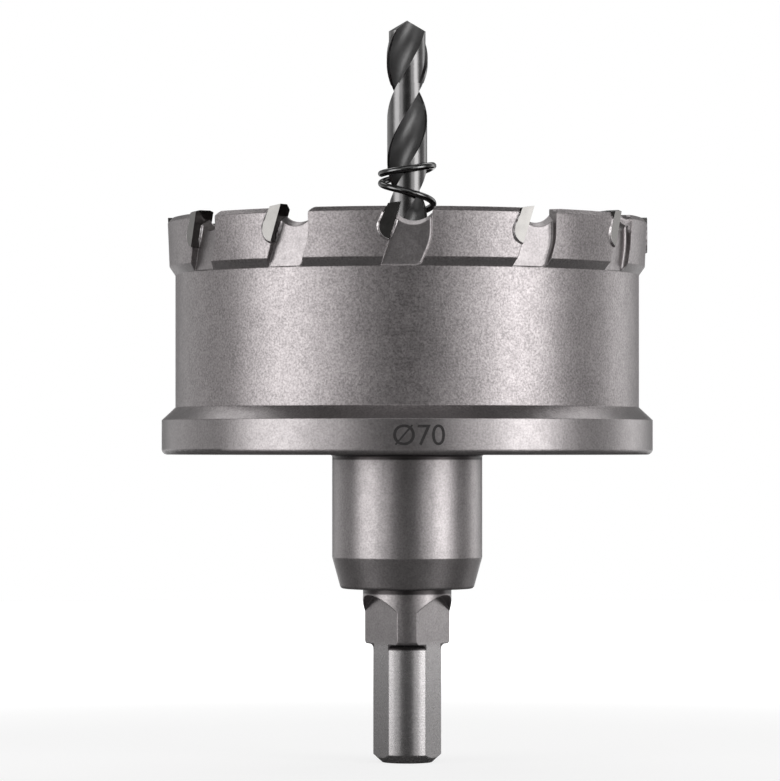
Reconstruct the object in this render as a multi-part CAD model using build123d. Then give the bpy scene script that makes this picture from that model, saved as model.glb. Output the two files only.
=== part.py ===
from build123d import *
import os
from math import cos, radians, sin, sqrt, tan

# Hole saw with carbide tips, 70 mm, cut from one steel bar with its own shank.
# All sizes are in millimetres and degrees. The axis is Z, the shank's end is at
# z = 0 and the teeth point up. The front is -Y, where tooth 1 stands.
# Seen from above the tool turns anticlockwise, so a tooth's cutting side is the
# side that the angle grows to.

# Cup
CUT_D = 70.0            # circle that the tips' outer corners cut
TIP_PROUD = 0.13        # how far the tips stand out of the ring at its top
RING_TAPER = 0.27       # how much smaller the ring's radius is at its bottom
RING_H = 6.95           # height of the toothed ring
RING_FOOT_H = 1.25      # height of the slope from the ring down to the wall
RIM_BEVEL_H = 0.66      # bevel round the ring's top edge, height
RIM_BEVEL_W = 0.55      # and width
WALL_IN = 1.25          # how far the cup's wall lies inside that circle
WALL_T = 1.2            # thickness of the cup's wall
CUP_H = 34.2            # from the flange's underside to the ring's top
FLOOR_T = 6.2           # thickness of the cup's floor
FLOOR_FILLET = 1.5      # inside corner between floor and wall
FLANGE_OUT = 0.75       # how far the stop flange reaches past the cut
FLANGE_BAND_H = 5.0     # from the flange's underside to its upper slope
FLANGE_SLOPE_H = 1.86   # height of the slope from the flange up to the wall
FLANGE_EDGE = 0.8       # rounded edge under the flange

# Hub and shank
HUB_D = 21.9
HUB_H = 19.5
HUB_FOOT_D = 19.4       # the hub's lower end, after its taper
HUB_TAPER_H = 4.55
HUB_EDGE = 0.5          # rounded edge at the hub's lower end
HUB_ROOT = 0.4          # fillet between hub and flange
COLLAR_D = 12.9
COLLAR_H = 8.1
COLLAR_EDGE = 0.5       # rounded edge at the collar's lower end
SHANK_D = 9.9
SHANK_L = 17.2
SHANK_ROOT = 0.6        # fillet between shank and collar
SHANK_BEVEL_W = 1.3     # bevel at the shank's end, width
SHANK_BEVEL_H = 1.2     # and height
FLATS = 3               # flats round shank and collar for the chuck's jaws
FLAT_R = 4.4            # from the axis to a flat
FLAT_TOP_GAP = 0.9      # from the top of a flat's arch up to the hub
FLAT_CUTTER_R = 5.7     # radius of the arch that ends a flat

# Teeth
TEETH = 12
LEAN = 18.4             # lean of the tips and gullets towards the cutting side
# How far each tooth stands from an even pitch, in degrees, tooth 1 first. The
# uneven pitch keeps the tool from chattering.
PITCH_SHIFT = (-1.3, 0.2, 0.2, 1.0, 0.5, -0.5, 0.7, -0.4, 0.3, -2.0, 1.6, 0.0)
# How far each tip stands above the ring, repeated round it.
TIP_RISE = (0.62, 0.25, 0.45, 0.40, 0.36, 0.52)
TIP_T = 2.2             # thickness of a tip at its foot
TIP_TOP_T = 1.75        # and at its cutting edge
TIP_LEN = 5.5           # length of its cutting side
TIP_IN = 0.39           # how far a tip stands into the cup's bore
TIP_ROUND = 1.8         # rounded back corner at a tip's foot
TIP_RELIEF = 9.0        # fall of a tip's top behind its cutting edge
TIP_SIDE_RELIEF = 3.0   # fall of a tip's outer face behind its cutting edge
TIP_CORNER_W = 1.1      # bevel at the inner end of the cutting edge, width
TIP_CORNER_H = 0.7      # and height
TIP_NOSE_W = 0.6        # bevel at both ends of the other kind of tip, width
TIP_NOSE_H = 0.2        # and height
BRAZE_GAP = 0.08        # braze between a tip and the back and foot of its seat

# Gullets
GULLET_W = 3.82         # from the cutting edge to the next segment
# How much wider each gullet is at its top, tooth 1 first
GULLET_FLARE = (0.4, 0.0, 0.0, 0.3, 0.1, 0.4, 0.2, 0.0, 0.3, 0.2, 0.8, 0.35)
GULLET_UPRIGHT = 4.6    # upright stretch of the gullet's far side
GULLET_BEND = 7.0       # radius where the far side starts to lean
GULLET_CORNER = 1.1     # rounded corner at the gullet's far foot
GULLET_SINK = 0.15      # how far the gullet's floor lies under the wall's surface
GULLET_FOOT = 0.1       # how far the gullet runs down past the ring onto the wall
GULLET_FILLET = 0.4     # fillet between a gullet's floor and its far side
SEGMENT_NOSE = 1.0      # rounded top corner of the segment after a gullet
NOTCH_DEPTH = 2.6       # depth of the notch that goes through the ring
NOTCH_R = 3.3           # radius of the notch's bottom
NOTCH_RISE = 32.0       # rise of the notch's floor towards the inside

# Pilot drill
DRILL_D = 6.0
DRILL_ABOVE = 29.1      # from the ring's top to the drill's point
DRILL_SEAT = 16.7       # how deep the drill stands in the hub under the flange
POINT_ANGLE = 118.0
POINT_CLEARANCE = 0.5   # how far each flank's cone stands off the axis
LAND_STEP = 9.3         # length of the point's lands, which have full-size margins
LAND_CLEARANCE = 0.32   # how far those lands lie lower behind their margins
MARGIN_SPREAD = 11.0    # angle that a margin takes of its land's leading side
LAND_RELIEF = 0.08      # how far the lands behind the step lie lower
FLUTE_LEAD = 29.0       # advance of a flute in one turn
FLUTE_LEN = 48.0        # from the point down to the flutes' round end
FLUTE_WEB = 1.0         # thickness left between the two flutes
FLUTE_SPREAD = 100.0    # angle that each flute opens at the surface
FLUTE_ANGLE = 128.0     # where the first flute faces at the point, from the right
DRILL_BEVEL = 0.5       # bevel at the drill's lower end
BORE_CLEARANCE = 0.02   # between drill and bore, on the radius
BORE_SPARE = 0.3        # bore left open under the drill
GRUB_FLAT_DEPTH = 0.45  # depth of the flat for the grub screw
GRUB_FLAT_L = 9.0

# Grub screw, in the side of the hub away from tooth 1
GRUB_D = 6.0
GRUB_L = 8.0
GRUB_DROP = 9.3         # from the flange's underside down to the screw
GRUB_HEX = 3.0          # across the flats of its socket
GRUB_HEX_DEPTH = 3.5
GRUB_CONE = 0.9         # bevel at its tip
THREAD_CLEARANCE = 0.05

# Ejector spring
WIRE_D = 0.98
SPRING_D = 8.55         # outside of the coils
SPRING_PITCH = 6.0
SPRING_SEAT = 0.03      # free height under the lowest turn
SPRING_GAP = 0.05       # free height between the two lowest turns
SPRING_ABOVE = 8.4      # from the ring's top to the highest point of the spring
SPRING_END_ANGLE = 180.0    # where the wire's upper end lies, from the front
SPRING_STEPS = 12       # points of the wire's line in one turn
# The upper end turn is closed and tilted: how far the wire lies under its highest
# point after each quarter turn, from its upper end.
SPRING_END_FALL = (0.12, 1.15, 0.7, 0.0, 1.17, 2.55, 4.0)

# Levels that follow from the sizes above
Z_COLLAR = SHANK_L
Z_HUB = Z_COLLAR + COLLAR_H
Z_FLANGE = Z_HUB + HUB_H
Z_FLOOR = Z_FLANGE + FLOOR_T
Z_RIM = Z_FLANGE + CUP_H
Z_RING = Z_RIM - RING_H
Z_WALL_TOP = Z_RING - RING_FOOT_H
Z_POINT = Z_RIM + DRILL_ABOVE
Z_DRILL_END = Z_FLANGE - DRILL_SEAT
Z_GRUB = Z_FLANGE - GRUB_DROP

# Radii that follow
CUT_R = CUT_D / 2
RING_R = CUT_R - TIP_PROUD
FLANGE_R = CUT_R + FLANGE_OUT
WALL_R = CUT_R - WALL_IN
CUP_BORE_R = WALL_R - WALL_T
GULLET_R = WALL_R - GULLET_SINK
DRILL_R = DRILL_D / 2
BORE_R = DRILL_R + BORE_CLEARANCE
COIL_R = (SPRING_D - WIRE_D) / 2
GRUB_FLAT_R = DRILL_R - GRUB_FLAT_DEPTH
SLOPE = tan(radians(LEAN))
OVER = 2.0              # how far a cutter runs past what it cuts


def tooth_angle(index):
    """Angle of a tooth from the front, anticlockwise from above."""
    return 360 * index / TEETH + PITCH_SHIFT[index % len(PITCH_SHIFT)]


def tip_rise(index):
    return TIP_RISE[index % len(TIP_RISE)]


def side_plane(radius):
    """Plane that faces the front tooth from outside, x along the rim and y up."""
    return Plane(origin=(0, -radius, 0), x_dir=(1, 0, 0), z_dir=(0, -1, 0))


def outline(points):
    return Polyline(*points, close=True)


def fillet_near(face, point, radius):
    """Round the corner of a face that lies nearest to a point."""
    corner = face.vertices().sort_by_distance(point)[0]
    return fillet(corner, radius)


# Body

def body_section():
    """Half section of the turned body, from the shank's end up to the rim."""
    shank_r = SHANK_D / 2
    collar_r = COLLAR_D / 2
    hub_r = HUB_D / 2
    foot_r = HUB_FOOT_D / 2
    z_band = Z_FLANGE + FLANGE_BAND_H
    points = [
        (0, 0),
        (shank_r - SHANK_BEVEL_W, 0),
        (shank_r, SHANK_BEVEL_H),
        (shank_r, Z_COLLAR),
        (collar_r, Z_COLLAR),
        (collar_r, Z_HUB),
        (foot_r, Z_HUB),
        (hub_r, Z_HUB + HUB_TAPER_H),
        (hub_r, Z_FLANGE),
        (FLANGE_R, Z_FLANGE),
        (FLANGE_R, z_band),
        (WALL_R, z_band + FLANGE_SLOPE_H),
        (WALL_R, Z_WALL_TOP),
        (RING_R - RING_TAPER, Z_RING),
        (RING_R, Z_RIM - RIM_BEVEL_H),
        (RING_R - RIM_BEVEL_W, Z_RIM),
        (CUP_BORE_R, Z_RIM),
        (CUP_BORE_R, Z_FLOOR),
        (0, Z_FLOOR),
    ]
    face = make_face(outline(points))
    face = fillet_near(face, (shank_r, Z_COLLAR), SHANK_ROOT)
    face = fillet_near(face, (collar_r, Z_COLLAR), COLLAR_EDGE)
    face = fillet_near(face, (foot_r, Z_HUB), HUB_EDGE)
    face = fillet_near(face, (hub_r, Z_FLANGE), HUB_ROOT)
    face = fillet_near(face, (FLANGE_R, Z_FLANGE), FLANGE_EDGE)
    return fillet_near(face, (CUP_BORE_R, Z_FLOOR), FLOOR_FILLET)


def turned_body():
    section = Plane.XZ * body_section()
    return revolve(section, Axis.Z)


def flat_cutter():
    """What the end mill takes away for one flat, with its round end uppermost."""
    z_arch = Z_HUB - FLAT_TOP_GAP - FLAT_CUTTER_R
    depth = COLLAR_D
    face = Pos(0, (z_arch - OVER) / 2) * Rectangle(2 * FLAT_CUTTER_R, z_arch + OVER)
    face += Pos(0, z_arch) * Circle(FLAT_CUTTER_R)
    return extrude(side_plane(FLAT_R) * face, depth)


def flat_cutters():
    """One flat faces away from tooth 1, the others follow round the shank."""
    turns = [180 + 360 * i / FLATS for i in range(FLATS)]
    return [flat_cutter().rotate(Axis.Z, turn) for turn in turns]


def drill_bore():
    """Blind bore for the pilot drill, with the cone that a drill leaves."""
    z_end = Z_DRILL_END - BORE_SPARE
    cone_h = BORE_R / tan(radians(POINT_ANGLE / 2))
    face = make_face(outline([
        (0, z_end - cone_h),
        (BORE_R, z_end),
        (BORE_R, Z_FLOOR + OVER),
        (0, Z_FLOOR + OVER),
    ]))
    return revolve(Plane.XZ * face, Axis.Z)


def grub_hole():
    """Hole for the grub screw, from the drill's bore out through the hub's back."""
    circle = Plane(origin=(0, 0, Z_GRUB), z_dir=(0, 1, 0)) * Circle(GRUB_D / 2)
    return extrude(circle, HUB_D)


# Tooth form, for the tooth at the front. In each outline x runs along the rim
# and is 0 at the cutting edge, and y is the height.

def rake_x(height, rise):
    """Where the leaning cutting side lies at a height."""
    return (height - Z_RIM - rise) * SLOPE


def tip_outline(rise, gap):
    """Side view of a tip, larger by the gap at its back and foot."""
    lean = radians(LEAN)
    along = Vector(sin(lean), cos(lean))
    back = Vector(-cos(lean), sin(lean))
    edge = Vector(0, Z_RIM + rise)
    foot = edge - along * (TIP_LEN + gap)
    heel = foot + back * (TIP_T + gap)
    fall = tan(radians(TIP_RELIEF))
    crown = edge + Vector(-1, -fall) * (TIP_TOP_T + gap) / cos(lean)
    return edge, foot, heel, crown


def tip_face(rise, gap):
    edge, foot, heel, crown = tip_outline(rise, gap)
    face = make_face(outline([tuple(p)[:2] for p in (edge, foot, heel, crown)]))
    return fillet_near(face, tuple(heel), TIP_ROUND + gap)


def tip_front_outline(rise, kind):
    """Tip seen along the rim: x is the radius. One kind is bevelled inside only."""
    top = Z_RIM + rise
    low = Z_RIM - TIP_LEN - OVER
    inner = CUP_BORE_R - TIP_IN
    outer = CUT_R
    if kind:
        ends = [(inner, top - TIP_CORNER_H), (inner + TIP_CORNER_W, top), (outer, top)]
    else:
        ends = [
            (inner, top - TIP_NOSE_H),
            (inner + TIP_NOSE_W, top),
            (outer - TIP_NOSE_W, top),
            (outer, top - TIP_NOSE_H),
        ]
    return outline([(inner, low)] + ends + [(outer, low)])


def tip(index):
    """Brazed carbide tip: its side view cut across by its front view."""
    rise = tip_rise(index)
    kind = index % 2
    side = extrude(side_plane(CUP_BORE_R - OVER) * tip_face(rise, 0), 3 * OVER)
    reach = 2 * TIP_LEN
    front = make_face(tip_front_outline(rise, kind))
    across = Plane(origin=(reach, 0, 0), x_dir=(0, -1, 0), z_dir=(-1, 0, 0))
    block = extrude(across * front, 2 * reach)
    tilt = radians(TIP_SIDE_RELIEF)
    relief = Plane(origin=(0, -CUT_R, 0), z_dir=(-sin(tilt), -cos(tilt), 0))
    solid = split(side & block, bisect_by=relief, keep=Keep.BOTTOM)
    return solid.rotate(Axis.Z, tooth_angle(index))


def seat_cutter(rise):
    """Seat of a tip, right through the ring, with room for the braze."""
    face = tip_face(rise, BRAZE_GAP)
    edge, foot, heel, crown = tip_outline(rise, BRAZE_GAP)
    along = (edge - foot).normalized() * 2 * OVER
    top = [edge, edge + along, crown + along, crown]
    face += make_face(outline([tuple(p)[:2] for p in top]))
    return extrude(side_plane(CUP_BORE_R - OVER) * face, 3 * OVER)


def segment_nose(width, top):
    """Rounded corner of the next segment: its far side, from low to past the rim."""
    start = (width, Z_RIM - SEGMENT_NOSE)
    end = (width + SEGMENT_NOSE, Z_RIM)
    half = SEGMENT_NOSE * (1 - sqrt(0.5))
    middle = (width + half, Z_RIM - half)
    arc = ThreePointArc(start, middle, end)
    return arc, Line(end, (end[0], top))


def gullet_cutter(rise, width):
    """Pocket milled in the ring's outside in front of a tip, with a flat floor."""
    top = Z_RIM + OVER
    low = Z_WALL_TOP - GULLET_FOOT
    z_bend = Z_RIM - GULLET_UPRIGHT
    far_low = GULLET_W - (z_bend - low) * SLOPE
    arc, up = segment_nose(width, top)
    edges = [
        Line((rake_x(top, rise), top), (rake_x(low, rise), low)),
        Line((rake_x(low, rise), low), (far_low, low)),
        Line((far_low, low), (width, z_bend)),
        Line((width, z_bend), arc @ 0),
        arc,
        up,
        Line(up @ 1, (rake_x(top, rise), top)),
    ]
    face = make_face(edges)
    face = fillet_near(face, (width, z_bend), GULLET_BEND)
    face = fillet_near(face, (far_low, low), GULLET_CORNER)
    pocket = extrude(side_plane(GULLET_R) * face, CUT_R - GULLET_R + OVER)
    floor = pocket.faces().filter_by(Axis.Y).sort_by(Axis.Y)[-1]
    lower = [e for e in floor.edges() if e.center().Z < Z_RIM - SEGMENT_NOSE]
    far = [e for e in lower if e.center().X > rake_x(e.center().Z, rise) + BRAZE_GAP]
    return fillet(far, GULLET_FILLET)


def notch_cutter(rise, width):
    """Notch through the ring, whose floor rises towards the cup's inside."""
    top = Z_RIM + OVER
    z_low = Z_RIM - NOTCH_DEPTH
    z_centre = z_low + NOTCH_R
    x_centre = (rake_x(z_low, rise) + width) / 2
    arc, up = segment_nose(width, top)
    edges = [
        Line((rake_x(top, rise), top), (rake_x(z_low - OVER, rise), z_low - OVER)),
        Line((rake_x(z_low - OVER, rise), z_low - OVER), (width, z_low - OVER)),
        Line((width, z_low - OVER), arc @ 0),
        arc,
        up,
        Line(up @ 1, (rake_x(top, rise), top)),
    ]
    face = make_face(edges)
    bowl = Pos(x_centre, z_centre) * Circle(NOTCH_R)
    over = Pos(x_centre, z_centre + NOTCH_R) * Rectangle(4 * NOTCH_R, 2 * NOTCH_R)
    face = face & (bowl + over)
    plane = side_plane(GULLET_R)
    outer = extrude(plane * face, CUT_R - GULLET_R + OVER)
    rise_angle = radians(NOTCH_RISE)
    lean = radians(LEAN)
    inward = Vector(sin(lean) * sin(rise_angle), cos(rise_angle), cos(lean) * sin(rise_angle))
    inner = extrude(plane * face, (GULLET_R - CUP_BORE_R + OVER) / cos(rise_angle), dir=inward)
    return outer + inner


def tooth_cutters(index):
    rise = tip_rise(index)
    width = GULLET_W + GULLET_FLARE[index % len(GULLET_FLARE)]
    cutters = [seat_cutter(rise), gullet_cutter(rise, width), notch_cutter(rise, width)]
    return [c.rotate(Axis.Z, tooth_angle(index)) for c in cutters]


def saw_body():
    body = turned_body()
    cutters = flat_cutters() + [drill_bore(), grub_hole()]
    for index in range(TEETH):
        cutters += tooth_cutters(index)
    for cutter in cutters:
        body -= cutter
    return body


# Pilot drill

def flute_place():
    """How far a flute's round cutter stands from the axis, and its radius."""
    half = radians(FLUTE_SPREAD / 2)
    edge_x = DRILL_R * cos(half)
    edge_y = DRILL_R * sin(half)
    web = FLUTE_WEB / 2
    reach = (edge_x ** 2 + edge_y ** 2 - web ** 2) / (2 * (edge_x - web))
    return reach, reach - web


def flute_turn(z):
    """Where the first flute faces at a height."""
    return FLUTE_ANGLE - 360 * (Z_POINT - z) / FLUTE_LEAD


def margin(radius):
    """Section of a land's margin, next to the first flute and a little into it."""
    ends = (-FLUTE_SPREAD / 2 - MARGIN_SPREAD, -FLUTE_SPREAD / 2 + MARGIN_SPREAD)
    corners = [(2 * radius * cos(radians(a)), 2 * radius * sin(radians(a))) for a in ends]
    return Circle(radius) & make_face(outline([(0, 0)] + corners))


def fluted_length(radius, z_low, z_high, margin_radius=0):
    """Twisted stretch of the drill, from its section at the lower end."""
    reach, cutter = flute_place()
    section = Circle(radius)
    for turn in (0, 180):
        if margin_radius > radius:
            section += Rot(0, 0, turn) * margin(margin_radius)
    for turn in (0, 180):
        section -= Rot(0, 0, turn) * (Pos(reach, 0) * Circle(cutter))
    section = Pos(0, 0, z_low) * (Rot(0, 0, flute_turn(z_low)) * section)
    length = z_high - z_low
    return Solid.extrude_linear_with_rotation(
        section.face(), (0, 0, z_low), (0, 0, length), 360 * length / FLUTE_LEAD
    )


def point_cone(turn):
    """Cone of one flank, stood off the axis so that it falls away from its lip."""
    half = radians(POINT_ANGLE / 2)
    height = 2 * DRILL_D
    apex = Z_POINT + POINT_CLEARANCE / tan(half)
    cone = Cone(height * tan(half), 0, height, align=(Align.CENTER, Align.CENTER, Align.MAX))
    cylinder = Cylinder(height * tan(half), Z_POINT, align=(Align.CENTER, Align.CENTER, Align.MAX))
    blank = Pos(0, 0, apex) * cone + Pos(0, 0, apex - height) * cylinder
    return Rot(0, 0, turn) * (Pos(0, POINT_CLEARANCE, 0) * blank)


def drill_shank(z_flute, z_round, radius):
    """Lower end of the drill, with the flutes' round ends and the screw's flat."""
    low = (Align.CENTER, Align.CENTER, Align.MIN)
    shank = Pos(0, 0, Z_DRILL_END) * Cylinder(DRILL_R, z_flute - Z_DRILL_END, align=low)
    shank = chamfer(shank.edges().sort_by(Axis.Z)[0], DRILL_BEVEL)
    shank += Pos(0, 0, z_flute) * Cylinder(radius, z_round - z_flute, align=low)
    reach, cutter = flute_place()
    for turn in (0, 180):
        end = Pos(reach, 0, 0) * Sphere(cutter, arc_size1=-90, arc_size2=0)
        shank -= Pos(0, 0, z_round) * (Rot(0, 0, flute_turn(z_round) + turn) * end)
    flat = Box(DRILL_D, GRUB_FLAT_DEPTH + OVER, GRUB_FLAT_L)
    return shank - Pos(0, GRUB_FLAT_R + (GRUB_FLAT_DEPTH + OVER) / 2, Z_GRUB) * flat


def pilot_drill():
    z_flute = Z_POINT - FLUTE_LEN
    z_round = z_flute + flute_place()[1]
    z_step = Z_POINT - LAND_STEP
    relieved = DRILL_R - LAND_RELIEF
    drill = drill_shank(z_flute, z_round, relieved)
    drill += fluted_length(relieved, z_round, z_step)
    drill += fluted_length(DRILL_R - LAND_CLEARANCE, z_step, Z_POINT, DRILL_R)
    for turn in (0, 180):
        drill &= point_cone(FLUTE_ANGLE - FLUTE_SPREAD / 2 + turn)
    return drill


# Grub screw

def grub_screw():
    """Headless screw with a hexagon socket, its tip on the drill's flat."""
    radius = GRUB_D / 2 - THREAD_CLEARANCE
    plane = Plane(origin=(0, GRUB_FLAT_R, Z_GRUB), z_dir=(0, 1, 0))
    screw = extrude(plane * Circle(radius), GRUB_L)
    tip_edge = screw.edges().filter_by(GeomType.CIRCLE).sort_by(Axis.Y)[0]
    screw = chamfer(tip_edge, GRUB_CONE)
    hexagon = RegularPolygon(GRUB_HEX / 2, 6, major_radius=False)
    mouth = Plane(origin=(0, GRUB_FLAT_R + GRUB_L, Z_GRUB), z_dir=(0, 1, 0))
    return screw - extrude(mouth * hexagon, -GRUB_HEX_DEPTH)


# Ejector spring

def smooth(values, place):
    """Smooth curve through evenly spaced values, at a place counted in steps."""
    last = len(values) - 1
    step = min(int(place), last - 1)
    t = place - step
    before = values[max(step - 1, 0)]
    a, b = values[step], values[step + 1]
    after = values[min(step + 2, last)]
    in_slope = (b - before) / 2
    out_slope = (after - a) / 2
    return (
        a * (1 + 2 * t) * (1 - t) ** 2
        + in_slope * t * (1 - t) ** 2
        + b * t * t * (3 - 2 * t)
        - out_slope * t * t * (1 - t)
    )


def wire_heights():
    """Height of the wire's line at each quarter turn, from the upper end down."""
    top = Z_RIM + SPRING_ABOVE - WIRE_D / 2
    bottom = Z_FLOOR + SPRING_SEAT + WIRE_D / 2
    heights = [top - fall for fall in SPRING_END_FALL]
    closed_turn = WIRE_D + SPRING_GAP
    closed = bottom + closed_turn
    count = round((heights[-1] - closed) / (SPRING_PITCH / 4))
    step = (heights[-1] - closed) / count
    first = heights[-1]
    heights += [first - step * (i + 1) for i in range(count)]
    heights += [closed - closed_turn * (i + 1) / 4 for i in range(4)]
    return heights


def ejector_spring():
    """Left-hand coil spring round the drill, closed at both ends."""
    heights = wire_heights()
    quarters = len(heights) - 1
    steps = round(quarters * SPRING_STEPS / 4)
    points = []
    for i in range(steps + 1):
        place = quarters * i / steps
        angle = radians(SPRING_END_ANGLE + 90 * place)
        points.append((COIL_R * sin(angle), -COIL_R * cos(angle), smooth(heights, place)))
    line = Spline(*points)
    start = Plane(origin=line @ 0, z_dir=line % 0)
    return sweep(start * Circle(WIRE_D / 2), path=line)


def write(node, shape):
    export_step(shape, f"parts/{node}.step")


os.makedirs("parts", exist_ok=True)
write("saw_body", saw_body())
for number in range(TEETH):
    write(f"tip_{number + 1:02d}", tip(number))
write("pilot_drill", pilot_drill())
write("grub_screw", grub_screw())
write("ejector_spring", ejector_spring())
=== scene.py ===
from math import cos, pi, radians, sin

import bmesh
import bpy
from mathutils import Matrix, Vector
from mathutils.bvhtree import BVHTree


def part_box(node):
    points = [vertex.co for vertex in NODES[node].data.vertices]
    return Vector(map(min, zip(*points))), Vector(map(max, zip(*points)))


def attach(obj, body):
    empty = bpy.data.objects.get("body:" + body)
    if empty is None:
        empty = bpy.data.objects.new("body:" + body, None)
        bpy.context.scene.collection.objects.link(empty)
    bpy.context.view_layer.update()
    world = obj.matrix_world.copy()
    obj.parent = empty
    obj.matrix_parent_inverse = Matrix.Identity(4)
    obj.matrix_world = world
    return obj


# Hole saw with carbide tips. Everything is in metres, in the frame of the solids:
# the axis is Z, the shank's end is at z = 0 and the camera looks along +Y.

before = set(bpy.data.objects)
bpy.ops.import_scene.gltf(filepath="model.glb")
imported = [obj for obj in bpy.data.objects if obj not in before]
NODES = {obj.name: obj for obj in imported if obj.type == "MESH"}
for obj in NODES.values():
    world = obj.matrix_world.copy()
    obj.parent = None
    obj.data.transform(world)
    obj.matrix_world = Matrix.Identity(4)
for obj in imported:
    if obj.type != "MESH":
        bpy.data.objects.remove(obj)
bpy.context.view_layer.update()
TIPS = sorted(name for name in NODES if name.startswith("tip_"))

MM = 0.001
UP = Vector((0, 0, 1))

# Places on the part, taken from the frame
BODY_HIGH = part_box("saw_body")[1]
DRILL_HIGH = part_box("pilot_drill")[1]
RIM_Z = BODY_HIGH.z
FLANGE_R = BODY_HIGH.x
DRILL_R = DRILL_HIGH.x
MIDDLE = Vector((0, 0, DRILL_HIGH.z / 2))

# Photograph: its size in pixels, and the part's axis and the horizon in it
PHOTO_LONG_SIDE = 781
PHOTO_CENTRE = (390, 390.5)
AXIS_X = 407.2
HORIZON_Y = 447.7
FOCAL_PIXELS = 3925         # focal length in those pixels
CAMERA_HEIGHT = 45.8 * MM
CAMERA_DISTANCE = 572.5 * MM
SENSOR_MM = 36.0

# Where each finish of the steel ends
CUP_LOW = 50.5 * MM         # the steel above this is blasted, below it is turned finer
SHANK_TOP = 16.8 * MM       # and below this it is ground
FINISH_BLEND = 1.0 * MM     # height over which those finishes run into each other
MASK_BLEND = 0.2 * MM       # and the same at the sharper borders below
GULLET_R = 34.2 * MM        # the gullets' floors lie inside this radius
RING_LOW = 70.8 * MM        # and above this height
CORNERS = (44.8 * MM, 25.3 * MM, 17.2 * MM)     # heights of the steps on the body
PAINTED_SHADE_H = 0.85 * MM        # painted shade darkens the steel under them for this height
OFF_FLATS = 4.8 * MM        # but only outside this radius, so not on the shank's flats
OFF_FLATS_BLEND = 0.1 * MM
LAND_DEPTH = 0.50 * MM      # deeper than this under its outside, the drill's steel is a flute's
LAND_BLEND = 0.12 * MM
EDGE_ROUND = 0.2 * MM       # how round the body's edges look
EDGE_SAMPLES = 6            # rays that look for an edge

# Greys of each finish, from and to: value and rosiness
BLASTED = ((0.20, 0.08), (0.41, 0.08))
TURNED = ((0.245, 0.07), (0.36, 0.07))
GROUND = ((0.33, 0.04), (0.40, 0.04))
# painted shade under the steps on the body: value and rosiness
PAINTED_SHADE_GREY = (0.06, 0.1)
BRAZE = ((0.55, 0.05), (0.10, 0.15))    # bare, and under a stain
FLUTE = ((0.085, 0.0), (0.13, 0.02))
RUBBED_LAND = ((0.14, 0.02), (0.20, 0.02))
WIRE = ((0.10, 0.0), (0.17, 0.0))
ETCHING = ((0.045, 0.05), (0.085, 0.05))
CARBIDE = ((0.148, 0.143, 0.138, 1.0), (0.234, 0.227, 0.219, 1.0))  # colours
OXIDE_METALLIC = 0.5        # how metallic black oxide still looks

# Noises: scale in one over metres, detail and roughness
GRAIN = (3400.0, 3.0, 0.6)
CLOUDS = (260.0, 3.0, 0.55)
GLOSS_PATCHES = (900.0, 2.0, 0.5)
CARBIDE_CLOUDS = (700.0, 2.0, 0.5)
BRAZE_STAINS = (1500.0, 3.0, 0.5)
BRAZE_LUMPS = (2500.0, 2.0, 0.5)
DRILL_PATCHES = (700.0, 3.0, 0.5)
WIRE_PATCHES = (1200.0, 2.0, 0.5)
ETCH_GRAIN = (5000.0, 2.0, 0.5)
# Fine lines round the axis: scales along X, Y and Z, detail and roughness
TURNING_LINES = ((60.0, 60.0, 5200.0), 2.0, 0.5)
GRINDING_LINES = ((900.0, 900.0, 9000.0), 2.0, 0.6)
DRILL_LINES = ((700.0, 700.0, 6000.0), 2.0, 0.6)
NOISE_SPAN = (0.3, 0.7)     # most of a noise lies between these
GRAIN_SPAN = (0.34, 0.66)   # the steel's tone runs over this much of its noise
STAIN_SPAN = (0.4, 0.65)    # and the stains on the braze over this much
CLOUD_SHARE = 0.2           # share of slow clouds in the steel's tone

# Roughness of each finish, from and to
STEEL_ROUGH = (0.28, 0.34)
CUP_ROUGHER = 0.05
GROUND_SMOOTHER = 0.05
CARBIDE_ROUGH = (0.11, 0.18)
BRAZE_ROUGH = 0.28
DRILL_ROUGH = (0.33, 0.39)
LAND_SMOOTHER = 0.15
WIRE_ROUGH = (0.11, 0.17)
ETCH_ROUGH = 0.55

# Relief of each finish: depth and strength
GRAIN_DEPTH = 0.03 * MM
GRAIN_STRENGTH = (0.5, 0.7)     # on turned and on blasted steel
GROUND_WEAKER = 0.3             # and how much less on the ground shank
TURNING_RELIEF = (0.006 * MM, 0.6)
CARBIDE_RELIEF = (0.004 * MM, 0.6)
BRAZE_RELIEF = (0.03 * MM, 0.3)
DRILL_RELIEF = (0.004 * MM, 0.5)
WIRE_RELIEF = (0.01 * MM, 0.2)
ETCH_RELIEF = (0.01 * MM, 0.5)

# Braze round each tip
BRAZE_W = 0.27 * MM         # width of the fillet on the steel
BRAZE_UNEVEN = 0.18         # how much that width varies, as a share
BRAZE_WAVES = (1.9, 4.3)    # how fast its two waves go, in radians a millimetre
BRAZE_INSIDE = 0.25 * MM    # height of the fillet on the tip inside the cup
BRAZE_ROOT = 0.06 * MM      # how far the fillet reaches into the metal
BRAZE_STEP = 0.2 * MM       # length of its pieces along the line
BRAZE_ARC = 5               # pieces across it
BRAZE_DEEPEST = 0.5 * MM    # the steel further down than this is a gullet's
BRAZE_RUN_OUT = 1.4 * MM    # over this length the fillet in the gullet thins out at its ends
BRAZE_TOP_GAP = 0.6 * MM    # from the rim down to the braze, which ends at the bevel
PROBE = 2.0 * MM            # how far off the surface a ray starts
WELD_DISTANCE = 0.001 * MM  # corners of a tip closer than this are one
OUTER_FACING = 0.9          # a tip's outer face has at least this cosine to outward
SIDE_FACING = 0.5           # and so have its leading side to ahead and its top to up

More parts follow.
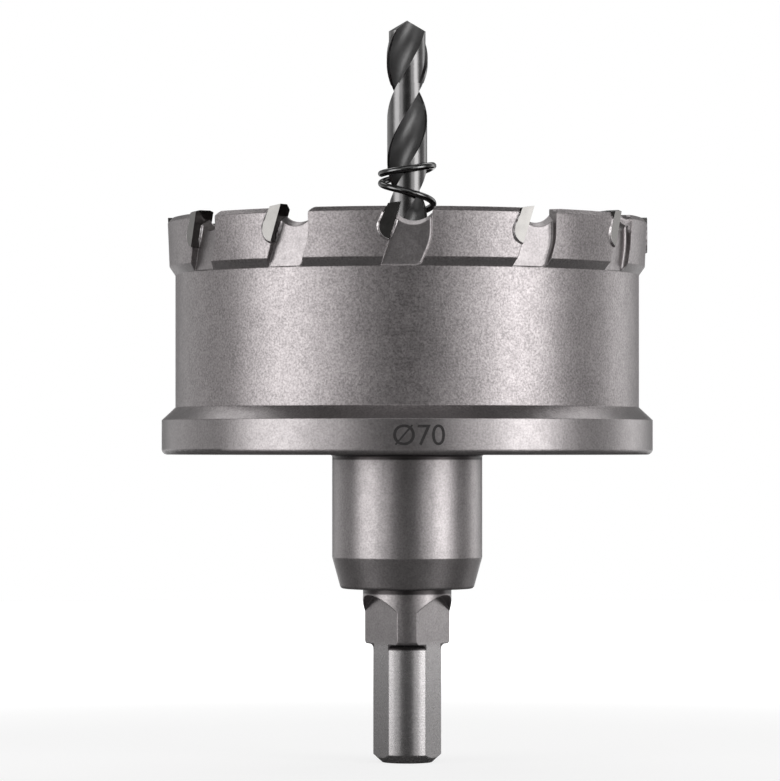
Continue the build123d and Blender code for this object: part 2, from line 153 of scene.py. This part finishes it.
# Size mark on the flange
MARK_TEXT = "Ø70"
MARK_HEIGHT = 2.85 * MM
CAPITAL_SHARE = 0.7         # height of a capital as a share of the font's size
MARK_Z = 47.6 * MM          # middle of its height
MARK_X = 1.6 * MM           # middle of its width, along the flange
MARK_PROUD = 0.004 * MM     # how far it stands off the flange
MARK_CUTS = 6               # cuts of its edges, so that it follows the flange round

# Softboxes round the part, each with its angle from the camera's side, width and radiance
SOFTBOX_DISTANCE = 0.7
SOFTBOX_HEIGHT = 0.9
SOFTBOXES = {
    "left": (-61.0, 0.36, 1.65),
    "left_wing": (-56.0, 0.80, 1.05),
    "right": (55.0, 0.30, 2.5),
    "right_wing": (50.0, 0.72, 1.05),
    "back_right": (124.0, 0.26, 0.85),
}
# Lamps above the part, each with its place, size and radiance
OVERHEAD = {
    "top": ((0, -0.27, 0.9), (0.6, 0.36), 0.36),
    "front": ((0, -0.75, 0.75), (0.9, 0.4), 0.9),
    "back": ((0, 0.48, 0.76), (1.2, 0.4), 1.6),
}

# Radiance of the room round the part, from behind the camera to behind the part:
# the cosine of the direction from the back, and the radiance there
ROOM = (
    (-1.0, 0.07),
    (-0.975, 0.13),
    (-0.91, 0.39),
    (0.0, 0.32),
    (0.62, 0.76),
    (0.80, 0.72),
    (0.93, 0.25),
    (1.0, 0.2),
)
BACKDROP_COSINE = 0.98      # how far round the backdrop reaches, as that cosine
ROOF_SPAN = (0.08, 0.5)     # how far up a direction is where the light starts and ends to fall
ROOF_SHARE = 0.17           # share of the room's light that is left overhead
ROOF_SIDES = 0.40           # and high up at the sides
ROOF_SIDE_SPAN = (0.3, 0.6)     # how far aside a direction is where the light turns into theirs

# Floor
FLOOR_R = 0.6
FLOOR_SEGMENTS = 96
FLOOR_COLOUR = (0.24, 0.7)  # the floor under the part, darker there as painted shade, and away from it
FLOOR_SHADE_REACH = (0.12, 0.3)   # radii where that painted shade starts and ends to turn paler
FLOOR_ROUGH = 0.25          # the floor's gloss, which only shows in the metal
FLOOR_GLOW = (0.78, 1.0)    # white that the camera sees in it, under the part and away from it
GLOW_REACH = (0.08, 0.35)   # radii where that starts and ends to grow
MIRROR_REACH = (0.1, FLOOR_R)   # distances behind the part where the metal sees it turn white


# Node trees

class Tree:
    """A material's or a world's node tree, with short calls to add and link."""

    def __init__(self, owner):
        owner.use_nodes = True
        self.tree = owner.node_tree
        self.tree.nodes.clear()

    def add(self, kind, inputs=(), **settings):
        node = self.tree.nodes.new(kind)
        for name, value in settings.items():
            setattr(node, name, value)
        for name, value in dict(inputs).items():
            self.put(node, name, value)
        return node

    def put(self, node, name, value):
        """Set one socket, or link it where the value is another node's output."""
        socket = node.inputs[name]
        if isinstance(value, bpy.types.NodeSocket):
            self.tree.links.new(value, socket)
        else:
            socket.default_value = value

    def math(self, operation, *values):
        node = self.add("ShaderNodeMath", operation=operation)
        for index, value in enumerate(values):
            self.put(node, index, value)
        return node.outputs[0]

    def place(self):
        """The point on the part, in metres."""
        return self.add("ShaderNodeTexCoord").outputs["Object"]

    def axes(self, vector=None):
        """X, Y and Z of a vector, or else of the point on the part."""
        vector = self.place() if vector is None else vector
        return self.add("ShaderNodeSeparateXYZ", {"Vector": vector}).outputs

    def radius(self):
        """Distance from the part's axis."""
        axes = self.axes()
        squares = [self.math("POWER", axes[index], 2.0) for index in (0, 1)]
        return self.math("SQRT", self.math("ADD", *squares))

    def noise(self, scale, detail, rough):
        """Noise from 0 to 1 whose grain is about one over the scale, in metres."""
        return self.noise_at(self.place(), scale, detail, rough)

    def lines(self, scales, detail, rough):
        """Noise from 0 to 1 with its own scale along each axis."""
        mapping = self.add("ShaderNodeMapping", {"Vector": self.place(), "Scale": scales})
        return self.noise_at(mapping.outputs[0], 1.0, detail, rough)

    def noise_at(self, vector, scale, detail, rough):
        inputs = {"Vector": vector, "Scale": scale, "Detail": detail, "Roughness": rough}
        return self.add("ShaderNodeTexNoise", inputs).outputs["Fac"]

    def span(self, value, low, high, to_low, to_high):
        """Carry a value from one range to another, held at its ends."""
        inputs = {
            "Value": value,
            "From Min": low,
            "From Max": high,
            "To Min": to_low,
            "To Max": to_high,
        }
        return self.add("ShaderNodeMapRange", inputs).outputs[0]

    def rise(self, value, start, width):
        """Mask that is 0 up to the start and 1 past the width."""
        return self.span(value, start, start + width, 0.0, 1.0)

    def fall(self, value, start, width):
        """Mask that is 1 up to the start and 0 past the width."""
        return self.span(value, start, start + width, 1.0, 0.0)

    def plus(self, value, mask, share):
        """A value with a share of a mask added."""
        return self.math("ADD", value, self.math("MULTIPLY", mask, share))

    def minus(self, value, mask, share):
        """A value with a share of a mask taken off."""
        return self.math("SUBTRACT", value, self.math("MULTIPLY", mask, share))

    def mix(self, factor, start, end):
        """Mix of two colours. A mix node has its colours at these numbers."""
        inputs = {0: factor, 6: start, 7: end}
        return self.add("ShaderNodeMix", inputs, data_type="RGBA").outputs[2]

    def greys(self, factor, start, end):
        """Mix of two greys, each given as its value and rosiness."""
        return self.mix(factor, shade(*start), shade(*end))

    def bump(self, height, distance, strength, normal=None):
        inputs = {"Height": height, "Distance": distance, "Strength": strength}
        if normal is not None:
            inputs["Normal"] = normal
        return self.add("ShaderNodeBump", inputs).outputs[0]

    def metal(self, colour, roughness, normal, metallic=1.0):
        """Finish the material as metal, less metallic where it is under a matt layer."""
        inputs = {
            "Base Color": colour,
            "Metallic": metallic,
            "Roughness": roughness,
            "Normal": normal,
        }
        shader = self.add("ShaderNodeBsdfPrincipled", inputs)
        self.add("ShaderNodeOutputMaterial", {"Surface": shader.outputs[0]})

    def mirrored(self, path):
        """Whether the ray left a metal or a glass."""
        rays = [path.outputs["Is Glossy Ray"], path.outputs["Is Transmission Ray"]]
        return self.math("MAXIMUM", *rays)


def shade(value, warm=0.0):
    """A grey, made a little rosier."""
    return (value * (1 + warm), value, value * (1 + warm / 8), 1.0)


# Materials

def steel_regions(tree):
    """Masks of the cup, of the blasted steel on it and of the ground shank."""
    height = tree.axes()["Z"]
    cup = tree.rise(height, CUP_LOW, FINISH_BLEND)
    deep = tree.fall(tree.radius(), GULLET_R, MASK_BLEND)
    milled = tree.math("MULTIPLY", deep, tree.rise(height, RING_LOW, MASK_BLEND))
    blasted = tree.math("SUBTRACT", cup, milled)
    ground = tree.fall(height, SHANK_TOP, FINISH_BLEND)
    return cup, blasted, ground


def painted_shade_under(tree, corner):
    """Mask of the painted shade under a step on the body, off the shank's flats."""
    height = tree.axes()["Z"]
    above = tree.rise(height, corner - PAINTED_SHADE_H, MASK_BLEND)
    band = tree.math("MULTIPLY", above, tree.fall(height, corner, MASK_BLEND))
    off_flats = tree.rise(tree.radius(), OFF_FLATS, OFF_FLATS_BLEND)
    return tree.math("MULTIPLY", band, off_flats)


def steel_colour(tree, grain, blasted, ground):
    """Grainy grey of each finish, with painted shade under the steps on the body."""
    tone = tree.math("MULTIPLY", grain, 1 - CLOUD_SHARE)
    tone = tree.plus(tone, tree.noise(*CLOUDS), CLOUD_SHARE)
    tone = tree.span(tone, *GRAIN_SPAN, 0.0, 1.0)
    colour = tree.mix(blasted, tree.greys(tone, *TURNED), tree.greys(tone, *BLASTED))
    colour = tree.mix(ground, colour, tree.greys(tone, *GROUND))
    for corner in CORNERS:
        # painted shade darkens the steel under each step
        colour = tree.mix(painted_shade_under(tree, corner), colour, shade(*PAINTED_SHADE_GREY))
    return colour


def steel_relief(tree, grain, blasted, ground):
    """Rounded edges with the grain and the marks of turning on them."""
    rounded = tree.add("ShaderNodeBevel", {"Radius": EDGE_ROUND}, samples=EDGE_SAMPLES)
    strength = tree.span(blasted, 0.0, 1.0, *GRAIN_STRENGTH)
    strength = tree.minus(strength, ground, GROUND_WEAKER)
    normal = tree.bump(grain, GRAIN_DEPTH, strength, rounded.outputs[0])
    return tree.bump(tree.lines(*TURNING_LINES), *TURNING_RELIEF, normal)


def body_steel():
    """Steel: the cup is bead-blasted, the rest turned finer and the shank ground."""
    material = bpy.data.materials.new("body_steel")
    tree = Tree(material)
    cup, blasted, ground = steel_regions(tree)
    grain = tree.noise(*GRAIN)
    rough = tree.span(tree.noise(*GLOSS_PATCHES), *NOISE_SPAN, *STEEL_ROUGH)
    rough = tree.plus(rough, cup, CUP_ROUGHER)
    rough = tree.minus(rough, ground, GROUND_SMOOTHER)
    colour = steel_colour(tree, grain, blasted, ground)
    tree.metal(colour, rough, steel_relief(tree, grain, blasted, ground))
    return material


def ground_carbide():
    """Grey carbide, ground in fine parallel lines."""
    material = bpy.data.materials.new("ground_carbide")
    tree = Tree(material)
    clouds = tree.noise(*CARBIDE_CLOUDS)
    rough = tree.span(clouds, *NOISE_SPAN, *CARBIDE_ROUGH)
    relief = tree.bump(tree.lines(*GRINDING_LINES), *CARBIDE_RELIEF)
    tree.metal(tree.mix(clouds, *CARBIDE), rough, relief)
    return material


def braze_metal():
    """Silver braze, run to a smooth bead, with flux stains."""
    material = bpy.data.materials.new("braze")
    tree = Tree(material)
    stains = tree.span(tree.noise(*BRAZE_STAINS), *STAIN_SPAN, 0.0, 1.0)
    relief = tree.bump(tree.noise(*BRAZE_LUMPS), *BRAZE_RELIEF)
    tree.metal(tree.greys(stains, *BRAZE), BRAZE_ROUGH, relief)
    return material


def black_drill_steel():
    """Black oxide, rubbed thin on the lands and deep black in the flutes."""
    material = bpy.data.materials.new("black_drill_steel")
    tree = Tree(material)
    land = tree.rise(tree.radius(), DRILL_R - LAND_DEPTH, LAND_BLEND)
    patches = tree.noise(*DRILL_PATCHES)
    colour = tree.mix(land, tree.greys(patches, *FLUTE), tree.greys(patches, *RUBBED_LAND))
    rough = tree.span(patches, *NOISE_SPAN, *DRILL_ROUGH)
    rough = tree.minus(rough, land, LAND_SMOOTHER)
    relief = tree.bump(tree.lines(*DRILL_LINES), *DRILL_RELIEF)
    tree.metal(colour, rough, relief, tree.span(land, 0.0, 1.0, OXIDE_METALLIC, 1.0))
    return material


def black_wire():
    """Oiled black spring wire."""
    material = bpy.data.materials.new("black_wire")
    tree = Tree(material)
    patches = tree.noise(*WIRE_PATCHES)
    rough = tree.span(patches, *NOISE_SPAN, *WIRE_ROUGH)
    tree.metal(tree.greys(patches, *WIRE), rough, tree.bump(patches, *WIRE_RELIEF))
    return material


def etched_mark():
    """Dark matt etching."""
    material = bpy.data.materials.new("etched_mark")
    tree = Tree(material)
    grain = tree.noise(*ETCH_GRAIN)
    tree.metal(tree.greys(grain, *ETCHING), ETCH_ROUGH, tree.bump(grain, *ETCH_RELIEF))
    return material


# Pieces

def paint(piece, material):
    piece.data.materials.clear()
    piece.data.materials.append(material)


def new_object(name, data):
    thing = bpy.data.objects.new(name, data)
    bpy.context.scene.collection.objects.link(thing)
    return thing


def mesh_from(bm, name):
    """A mesh made of what was built, which is then freed."""
    mesh = bpy.data.meshes.new(name)
    bm.to_mesh(mesh)
    bm.free()
    return mesh


def new_piece(name, mesh, material):
    """Add a mesh to the scene as a piece of the part."""
    piece = new_object(name, mesh)
    paint(piece, material)
    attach(piece, "root")


# Braze

def outer_edges(tip):
    """A tip's centre, its outward direction and two lines of points round its outer face.

    The first line is the leading edge, and the second is the back and foot.
    """
    mesh = tip.data
    centre = sum((v.co for v in mesh.vertices), Vector()) / len(mesh.vertices)
    outward = Vector((centre.x, centre.y, 0)).normalized()
    ahead = UP.cross(outward)
    bm = bmesh.new()
    bm.from_mesh(mesh)
    bmesh.ops.remove_doubles(bm, verts=bm.verts, dist=WELD_DISTANCE)
    bmesh.ops.recalc_face_normals(bm, faces=bm.faces)
    outer = {face for face in bm.faces if face.normal.dot(outward) > OUTER_FACING}
    leading, seated = [], []
    for edge in bm.edges:
        sides = [face for face in edge.link_faces if face not in outer]
        if len(sides) != 1 or len(edge.link_faces) != 2:
            continue
        normal = sides[0].normal
        ends = [tuple(vertex.co) for vertex in edge.verts]
        if normal.dot(ahead) > SIDE_FACING:
            leading.append(ends)
        elif normal.z <= SIDE_FACING:
            seated.append(ends)
    bm.free()
    return centre, outward, even_steps(chained(leading)), even_steps(chained(seated))


def chained(edges):
    """The points of a line of edges in their order, from its upper end down."""
    near = {}
    for a, b in edges:
        near.setdefault(a, []).append(b)
        near.setdefault(b, []).append(a)
    points = [max((p for p in near if len(near[p]) == 1), key=lambda p: p[2])]
    while True:
        ways = [p for p in near[points[-1]] if p not in points]
        if not ways:
            return [Vector(p) for p in points]
        points.append(ways[0])


def even_steps(points):
    """The same line with points at even short steps, without its part at the rim's bevel."""
    line = [points[0]]
    for a, b in zip(points, points[1:]):
        count = max(1, round((b - a).length / BRAZE_STEP))
        line += [a.lerp(b, (i + 1) / count) for i in range(count)]
    return [p for p in line if p.z < RIM_Z - BRAZE_TOP_GAP]


def frames_along(line, centre, outward):
    """For each point of a line, the direction away from the tip in its outer face."""
    last = len(line) - 1
    for index, point in enumerate(line):
        along = (line[min(index + 1, last)] - line[max(index - 1, 0)]).normalized()
        away = along.cross(outward).normalized()
        yield point, away if away.dot(point - centre) > 0 else -away


def surface_height(steel, point, up):
    """Height of the steel over a point, measured along up, or None off its edge."""
    hit = steel.ray_cast(point + PROBE * up, -up, 2 * PROBE)[0]
    return None if hit is None else (hit - point).dot(up)


def uneven_width(index, phase):
    """Width of the fillet at one step of its line."""
    travel = index * BRAZE_STEP / MM
    wave = sin(BRAZE_WAVES[0] * travel + phase) + sin(BRAZE_WAVES[1] * travel)
    return BRAZE_W * (1 + BRAZE_UNEVEN * wave / 2)


def fillet_section(width, tip_side, steel_side):
    """Section of a braze fillet: pairs of distance from the tip and height."""
    arc = []
    for i in range(BRAZE_ARC + 1):
        t = i / BRAZE_ARC
        arc.append((width * t, steel_side + (tip_side - steel_side) * (1 - t) ** 2))
    root = min(tip_side, steel_side) - BRAZE_ROOT
    return arc + [(width, root), (-BRAZE_ROOT, root), (-BRAZE_ROOT, tip_side)]


class Fillet:
    """A bead of braze, laid section by section along a line."""

    def __init__(self):
        self.rings = []

    def lay(self, point, away, up, section):
        """Add a section, whose pairs are distances along away and up."""
        self.rings.append([point + u * away + v * up for u, v in section])

    def skin(self, bm):
        """Make its faces, closed at both ends."""
        rings = [[bm.verts.new(point) for point in ring] for ring in self.rings]
        for a, b in zip(rings, rings[1:]):
            for i in range(len(a)):
                j = (i + 1) % len(a)
                bm.faces.new((a[i], a[j], b[j], b[i]))
        bm.faces.new(rings[0])
        bm.faces.new(list(reversed(rings[-1])))


def seat_fillets(tip, steel, centre, outward, line):
    """Fillets round a tip's back and foot, outside and inside the cup."""
    outside, inside = Fillet(), Fillet()
    inner_face = min(v.co.dot(outward) for v in tip.data.vertices)
    drop = -BRAZE_ROOT      # from the tip down to the steel, kept on where there is none
    for index, (point, away) in enumerate(frames_along(line, centre, outward)):
        width = uneven_width(index, centre.x / MM)
        height = surface_height(steel, point + width * away, outward)
        if height is not None and height > -BRAZE_DEEPEST:
            drop = min(height, 0)
        outside.lay(point, away, outward, fillet_section(width, 0, drop))
        base = point - (point.dot(outward) - inner_face) * outward
        height = surface_height(steel, base + width * away, -outward)
        if height is not None and height > -BRAZE_DEEPEST:
            section = fillet_section(width, height + BRAZE_INSIDE, height)
            inside.lay(base, away, -outward, section)
    return outside, inside


def gullet_fillet(steel, centre, outward, line):
    """Fillet between a tip's leading side and the gullet's floor, thin at its ends."""
    fillet = Fillet()
    for index, (point, away) in enumerate(frames_along(line, centre, outward)):
        to_end = min(index, len(line) - 1 - index) * BRAZE_STEP
        thin = min(1, (to_end + BRAZE_STEP) / BRAZE_RUN_OUT)
        width = thin * uneven_width(index, centre.y / MM)
        height = surface_height(steel, point + width * away, outward)
        if height is not None:
            fillet.lay(point, away, outward, fillet_section(width, height + width, height))
    return fillet


def braze(name, tip, steel, material):
    """Fillets of braze round a tip: back and foot outside and inside, and in the gullet."""
    centre, outward, leading, seated = outer_edges(tip)
    outside, inside = seat_fillets(tip, steel, centre, outward, seated)
    gullet = gullet_fillet(steel, centre, outward, leading)
    bm = bmesh.new()
    for fillet in (outside, inside, gullet):
        if len(fillet.rings) > 1:
            fillet.skin(bm)
    bmesh.ops.recalc_face_normals(bm, faces=bm.faces)
    mesh = mesh_from(bm, name)
    for polygon in mesh.polygons:
        polygon.use_smooth = True
    new_piece(name, mesh, material)


# Size mark

def flat_mark():
    """Mesh of the size number, flat and centred on x = 0."""
    curve = bpy.data.curves.new("size_mark", "FONT")
    curve.body = MARK_TEXT
    curve.align_x = "CENTER"
    curve.size = MARK_HEIGHT / CAPITAL_SHARE
    text = new_object("size_mark_text", curve)
    bpy.context.view_layer.update()
    mesh = bpy.data.meshes.new_from_object(text)
    bpy.data.objects.remove(text)
    return mesh


def size_mark(material):
    """Plain size number, etched on the flange."""
    mesh = flat_mark()
    mesh.name = "size_mark"
    bm = bmesh.new()
    bm.from_mesh(mesh)
    bmesh.ops.triangulate(bm, faces=bm.faces)
    bmesh.ops.subdivide_edges(bm, edges=bm.edges, cuts=MARK_CUTS, use_grid_fill=True)
    radius = FLANGE_R + MARK_PROUD
    for vertex in bm.verts:
        angle = (vertex.co.x + MARK_X) / FLANGE_R
        height = MARK_Z - MARK_HEIGHT / 2 + vertex.co.y
        vertex.co = Vector((radius * sin(angle), -radius * cos(angle), height))
    bm.to_mesh(mesh)
    bm.free()
    new_piece("size_mark", mesh, material)


# Studio

def area_lamp(name, place, width, height, radiance):
    """Soft lamp that faces the part, which only the camera doesn't see."""
    data = bpy.data.lights.new(name, "AREA")
    data.shape = "RECTANGLE"
    data.size = width
    data.size_y = height
    data.energy = radiance * pi * width * height
    lamp = new_object(name, data)
    lamp.location = place
    lamp.rotation_euler = (MIDDLE - lamp.location).to_track_quat("-Z", "Y").to_euler()
    lamp.visible_camera = False


def lamps():
    """Tall softboxes round the part, and lamps above it for what faces up."""
    for name, (angle, width, radiance) in SOFTBOXES.items():
        turn = radians(angle)
        place = MIDDLE + SOFTBOX_DISTANCE * Vector((sin(turn), -cos(turn), 0))
        area_lamp("softbox_" + name, place, width, SOFTBOX_HEIGHT, radiance)
    for name, (place, size, radiance) in OVERHEAD.items():
        area_lamp("overhead_" + name, place, *size, radiance)


def room_light(tree, back):
    """Radiance of the room in a direction, by how far that looks to the back."""
    ramp = tree.add("ShaderNodeValToRGB", {"Fac": tree.span(back, -1.0, 1.0, 0.0, 1.0)})
    stops = ramp.color_ramp.elements
    for index, (cosine, radiance) in enumerate(ROOM):
        place = (cosine + 1) / 2
        stop = stops[index] if index < len(stops) else stops.new(place)
        stop.position = place
        stop.color = shade(radiance)
    return ramp.outputs["Color"]


def studio_world():
    """White background for the camera and in the metal, in a room of uneven light."""
    world = bpy.data.worlds.new("studio")
    bpy.context.scene.world = world
    tree = Tree(world)
    aside, back, up = tree.axes(tree.add("ShaderNodeTexCoord").outputs["Generated"])
    aside = tree.math("ABSOLUTE", aside)
    roof = tree.span(aside, *ROOF_SIDE_SPAN, ROOF_SHARE, ROOF_SIDES)
    fall = tree.span(up, *ROOF_SPAN, 1.0, roof)
    room = tree.math("MULTIPLY", room_light(tree, back), fall)
    path = tree.add("ShaderNodeLightPath")
    backdrop = tree.math("GREATER_THAN", back, BACKDROP_COSINE)
    backdrop = tree.math("MULTIPLY", backdrop, tree.mirrored(path))
    white = tree.math("MAXIMUM", backdrop, path.outputs["Is Camera Ray"])
    strength = tree.math("MAXIMUM", room, white)
    inputs = {"Color": (1, 1, 1, 1), "Strength": strength}
    background = tree.add("ShaderNodeBackground", inputs)
    tree.add("ShaderNodeOutputWorld", {"Surface": background.outputs[0]})


def floor_material():
    """Pale satin that glows white away from the part, for the camera and in the metal."""
    material = bpy.data.materials.new("floor")
    tree = Tree(material)
    path = tree.add("ShaderNodeLightPath")
    glow = tree.span(tree.radius(), *GLOW_REACH, *FLOOR_GLOW)
    seen = tree.math("MULTIPLY", glow, path.outputs["Is Camera Ray"])
    behind = tree.span(tree.axes()["Y"], *MIRROR_REACH, 0.0, 1.0)
    behind = tree.math("MULTIPLY", behind, tree.mirrored(path))
    strength = tree.math("MAXIMUM", seen, behind)
    emission = tree.add("ShaderNodeEmission", {"Strength": strength})
    # the floor's colour is darker under the part: painted shade, which the metal sees in it
    colour = tree.span(tree.radius(), *FLOOR_SHADE_REACH, *FLOOR_COLOUR)
    diffuse = tree.add("ShaderNodeBsdfDiffuse", {"Color": colour})
    satin = tree.add("ShaderNodeBsdfPrincipled", {"Base Color": colour, "Roughness": FLOOR_ROUGH})
    plain = tree.add("ShaderNodeMixShader", {
        0: path.outputs["Is Camera Ray"],
        1: satin.outputs[0],
        2: diffuse.outputs[0],
    })
    both = tree.add("ShaderNodeAddShader", {0: plain.outputs[0], 1: emission.outputs[0]})
    tree.add("ShaderNodeOutputMaterial", {"Surface": both.outputs[0]})
    return material


def floor():
    """Pale floor that fades into the white background and keeps the part's shadow."""
    bm = bmesh.new()
    bmesh.ops.create_circle(bm, cap_ends=True, segments=FLOOR_SEGMENTS, radius=FLOOR_R)
    plane = new_object("floor", mesh_from(bm, "floor"))
    paint(plane, floor_material())


def camera():
    """Level camera at the photograph's angle, with its framing."""
    data = bpy.data.cameras.new("camera")
    data.sensor_width = SENSOR_MM
    data.lens = FOCAL_PIXELS * SENSOR_MM / PHOTO_LONG_SIDE
    data.shift_x = (PHOTO_CENTRE[0] - AXIS_X) / PHOTO_LONG_SIDE
    data.shift_y = (HORIZON_Y - PHOTO_CENTRE[1]) / PHOTO_LONG_SIDE
    data.dof.use_dof = False
    view = new_object("camera", data)
    view.location = (0, -CAMERA_DISTANCE, CAMERA_HEIGHT)
    view.rotation_euler = (pi / 2, 0, 0)
    bpy.context.scene.camera = view


def dress():
    """Give every solid its finish, and add the braze and the size mark."""
    body = NODES["saw_body"]
    paint(body, body_steel())
    corners = [vertex.co for vertex in body.data.vertices]
    steel = BVHTree.FromPolygons(corners, [polygon.vertices for polygon in body.data.polygons])
    carbide = ground_carbide()
    filler = braze_metal()
    for name in TIPS:
        paint(NODES[name], carbide)
        braze("braze_" + name[-2:], NODES[name], steel, filler)
    black = black_drill_steel()
    paint(NODES["pilot_drill"], black)
    paint(NODES["grub_screw"], black)
    paint(NODES["ejector_spring"], black_wire())
    size_mark(etched_mark())


dress()
camera()
studio_world()
floor()
lamps()
bpy.context.scene.view_settings.view_transform = "Standard"
